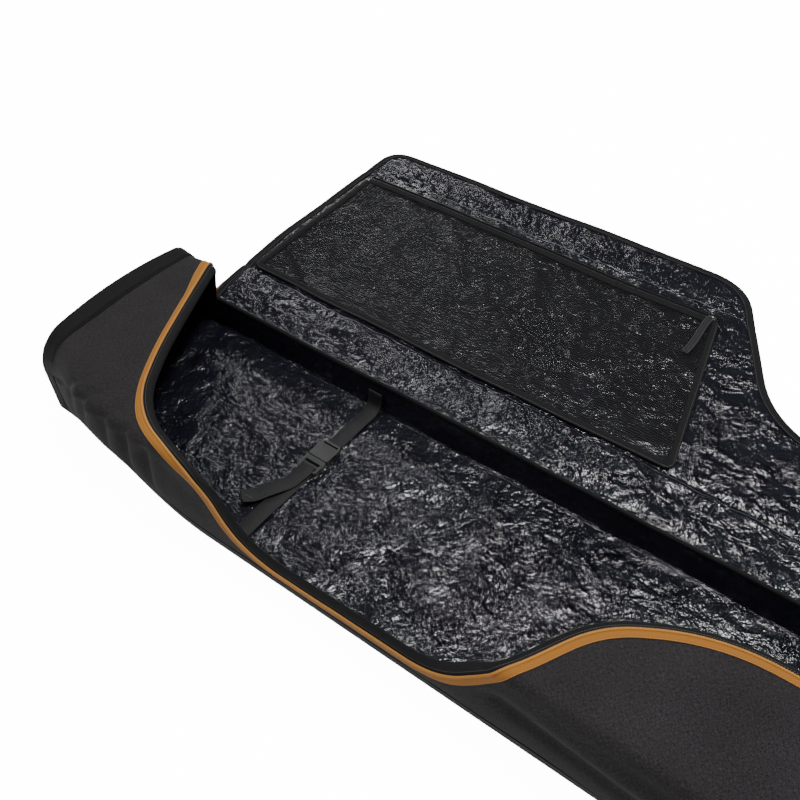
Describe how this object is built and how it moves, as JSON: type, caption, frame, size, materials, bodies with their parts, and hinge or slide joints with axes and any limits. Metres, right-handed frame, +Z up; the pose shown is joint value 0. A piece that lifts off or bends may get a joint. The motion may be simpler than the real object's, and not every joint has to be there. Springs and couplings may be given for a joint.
{
  "type": "snowboard bag",
  "caption": "Long soft bag lying on its base with a hinged, folding wraparound lid, a lid-lining mesh pocket, inner compression straps, zips and webbing handles.",
  "frame": {"origin": "middle of the base panel's underside, on the ground", "axes": "+Z up, +X from the nose end towards the tail end, +Y towards the lid's hinge"},
  "size_m": [1.7612, 0.8575, 0.1368],
  "materials": {
    "shell_fabric": "heather woven polyester, matt",
    "tarpaulin": "coated tarpaulin, low sheen",
    "lining_film": "crinkled coated film, shiny",
    "binding_tape": "ribbed binding tape, matt",
    "padding_foam": "closed-cell foam sheet",
    "mustard_tape": "woven zip tape and coil, matt",
    "mesh_cloth": "open knitted mesh",
    "webbing": "woven webbing, matt",
    "buckle_nylon": "moulded acetal, satin",
    "dark_metal": "dark plated zinc, satin"
  },
  "bodies": {
    "shell": {"base_foam": "padding_foam", "base_panel": "tarpaulin", "body_lining": "lining_film", "far_wall": "shell_fabric", "floor_lining": "lining_film", "hinge_piping": "binding_tape", "mouth_welt": "binding_tape", "mouth_zip_tape": "mustard_tape", "mouth_zip_teeth": "mustard_tape", "near_wall": "shell_fabric", "nose_buckle_female": "buckle_nylon", "nose_end_band": "binding_tape", "nose_end_wall": "shell_fabric", "nose_hood": "shell_fabric", "nose_strap_far": "webbing", "nose_strap_near": "webbing", "tail_buckle_female": "buckle_nylon", "tail_end_band": "binding_tape", "tail_end_wall": "shell_fabric", "tail_hood": "shell_fabric", "tail_strap_far": "webbing", "tail_strap_near": "webbing"},
    "lid_spine": {"lid_spine_binding_nose": "binding_tape", "lid_spine_binding_tail": "binding_tape", "lid_spine_cover": "shell_fabric", "lid_spine_lining": "lining_film", "handle_patch_nose": "webbing", "handle_patch_tail": "webbing"},
    "lid_top": {"lid_top_binding_nose": "binding_tape", "lid_top_binding_tail": "binding_tape", "lid_top_cover": "shell_fabric", "lid_top_lining": "lining_film", "lid_top_padding": "padding_foam", "lid_top_zip_tape_nose": "mustard_tape", "lid_top_zip_tape_tail": "mustard_tape", "mesh_pocket": "mesh_cloth", "pocket_rim_tape": "binding_tape", "pocket_zip": "binding_tape"},
    "lid_front": {"lid_front_binding": "binding_tape", "lid_front_cover": "shell_fabric", "lid_front_lining": "lining_film", "lid_front_zip_tape": "mustard_tape"},
    "nose_slider": {"nose_slider": "dark_metal"},
    "nose_slider_pull": {"nose_slider_pull": "dark_metal"},
    "tail_slider": {"tail_slider": "dark_metal"},
    "tail_slider_pull": {"tail_slider_pull": "dark_metal"},
    "pocket_slider": {"pocket_slider": "dark_metal"},
    "pocket_pull_tab": {"pocket_pull_tab": "webbing"},
    "carry_handle": {"carry_handle": "webbing"},
    "nose_grab_handle": {"nose_grab_handle": "webbing"},
    "tail_grab_handle": {"tail_grab_handle": "webbing"},
    "nose_buckle_male": {"nose_buckle_male": "buckle_nylon", "nose_strap_loose_end": "webbing"},
    "nose_buckle_latch_left": {"nose_buckle_latch_left": "buckle_nylon"},
    "nose_buckle_latch_right": {"nose_buckle_latch_right": "buckle_nylon"},
    "tail_buckle_male": {"tail_buckle_male": "buckle_nylon", "tail_strap_loose_end": "webbing"},
    "tail_buckle_latch_left": {"tail_buckle_latch_left": "buckle_nylon"},
    "tail_buckle_latch_right": {"tail_buckle_latch_right": "buckle_nylon"}
  },
  "joints": [
    {"name": "lid_hinge", "type": "hinge", "parent": "shell", "child": "lid_spine", "pos_m": [0, 0.17, 0.055], "axis": [1, 0, 0], "range_deg": [0, 89]},
    {"name": "lid_top_fold", "type": "hinge", "parent": "lid_spine", "child": "lid_top", "pos_m": [0, 0.25999, 0.05657], "axis": [1, 0, 0], "range_deg": [0, 89]},
    {"name": "lid_front_fold", "type": "hinge", "parent": "lid_top", "child": "lid_front", "pos_m": [0, 0.59978, 0.06844], "axis": [1, 0, 0], "range_deg": [0, 89]},
    {"name": "nose_zip_slide", "type": "slide", "parent": "shell", "child": "nose_slider", "axis": [0, 0, 1], "range_m": [0, 0.034]},
    {"name": "nose_pull_swing", "type": "hinge", "parent": "nose_slider", "child": "nose_slider_pull", "pos_m": [-0.821, 0.1718, 0.0795], "axis": [1, 0, 0], "range_deg": [0, 110]},
    {"name": "tail_zip_slide", "type": "slide", "parent": "shell", "child": "tail_slider", "axis": [0, 0, 1], "range_m": [0, 0.034]},
    {"name": "tail_pull_swing", "type": "hinge", "parent": "tail_slider", "child": "tail_slider_pull", "pos_m": [0.791, 0.1718, 0.0795], "axis": [1, 0, 0], "range_deg": [0, 110]},
    {"name": "pocket_zip_slide", "type": "slide", "parent": "lid_top", "child": "pocket_slider", "axis": [1, 0, 0], "range_m": [-0.6, 0]},
    {"name": "pocket_pull_swing", "type": "hinge", "parent": "pocket_slider", "child": "pocket_pull_tab", "pos_m": [-0.152, 0.57574, 0.0748], "axis": [-1, 0, 0], "range_deg": [0, 100]},
    {"name": "nose_buckle_release", "type": "slide", "parent": "shell", "child": "nose_buckle_male", "axis": [0, -1, 0], "range_m": [0, 0.03]},
    {"name": "nose_latch_left_flex", "type": "hinge", "parent": "nose_buckle_male", "child": "nose_buckle_latch_left", "pos_m": [-0.4894, 0.024, 0.016], "axis": [0, 0, -1], "range_deg": [0, 6]},
    {"name": "nose_latch_right_flex", "type": "hinge", "parent": "nose_buckle_male", "child": "nose_buckle_latch_right", "pos_m": [-0.4706, 0.024, 0.016], "axis": [0, 0, 1], "range_deg": [0, 6]},
    {"name": "tail_buckle_release", "type": "slide", "parent": "shell", "child": "tail_buckle_male", "axis": [0, -1, 0], "range_m": [0, 0.03]},
    {"name": "tail_latch_left_flex", "type": "hinge", "parent": "tail_buckle_male", "child": "tail_buckle_latch_left", "pos_m": [0.4706, 0.024, 0.016], "axis": [0, 0, -1], "range_deg": [0, 6]},
    {"name": "tail_latch_right_flex", "type": "hinge", "parent": "tail_buckle_male", "child": "tail_buckle_latch_right", "pos_m": [0.4894, 0.024, 0.016], "axis": [0, 0, 1], "range_deg": [0, 6]},
    {"name": "carry_handle_swing", "type": "hinge", "parent": "lid_spine", "child": "carry_handle", "pos_m": [0, 0.24413, 0.04849], "axis": [1, 0, 0], "range_deg": [0, 80]},
    {"name": "nose_grab_swing", "type": "hinge", "parent": "shell", "child": "nose_grab_handle", "pos_m": [-0.8793, 0, 0.07], "axis": [0, 1, 0], "range_deg": [0, 95]},
    {"name": "tail_grab_swing", "type": "hinge", "parent": "shell", "child": "tail_grab_handle", "pos_m": [0.8793, 0, 0.07], "axis": [0, -1, 0], "range_deg": [0, 95]}
  ],
  "couplings": [
    {"joint": "lid_top_fold", "follows": "lid_hinge", "ratio": 1},
    {"joint": "lid_front_fold", "follows": "lid_hinge", "ratio": 1}
  ]
}
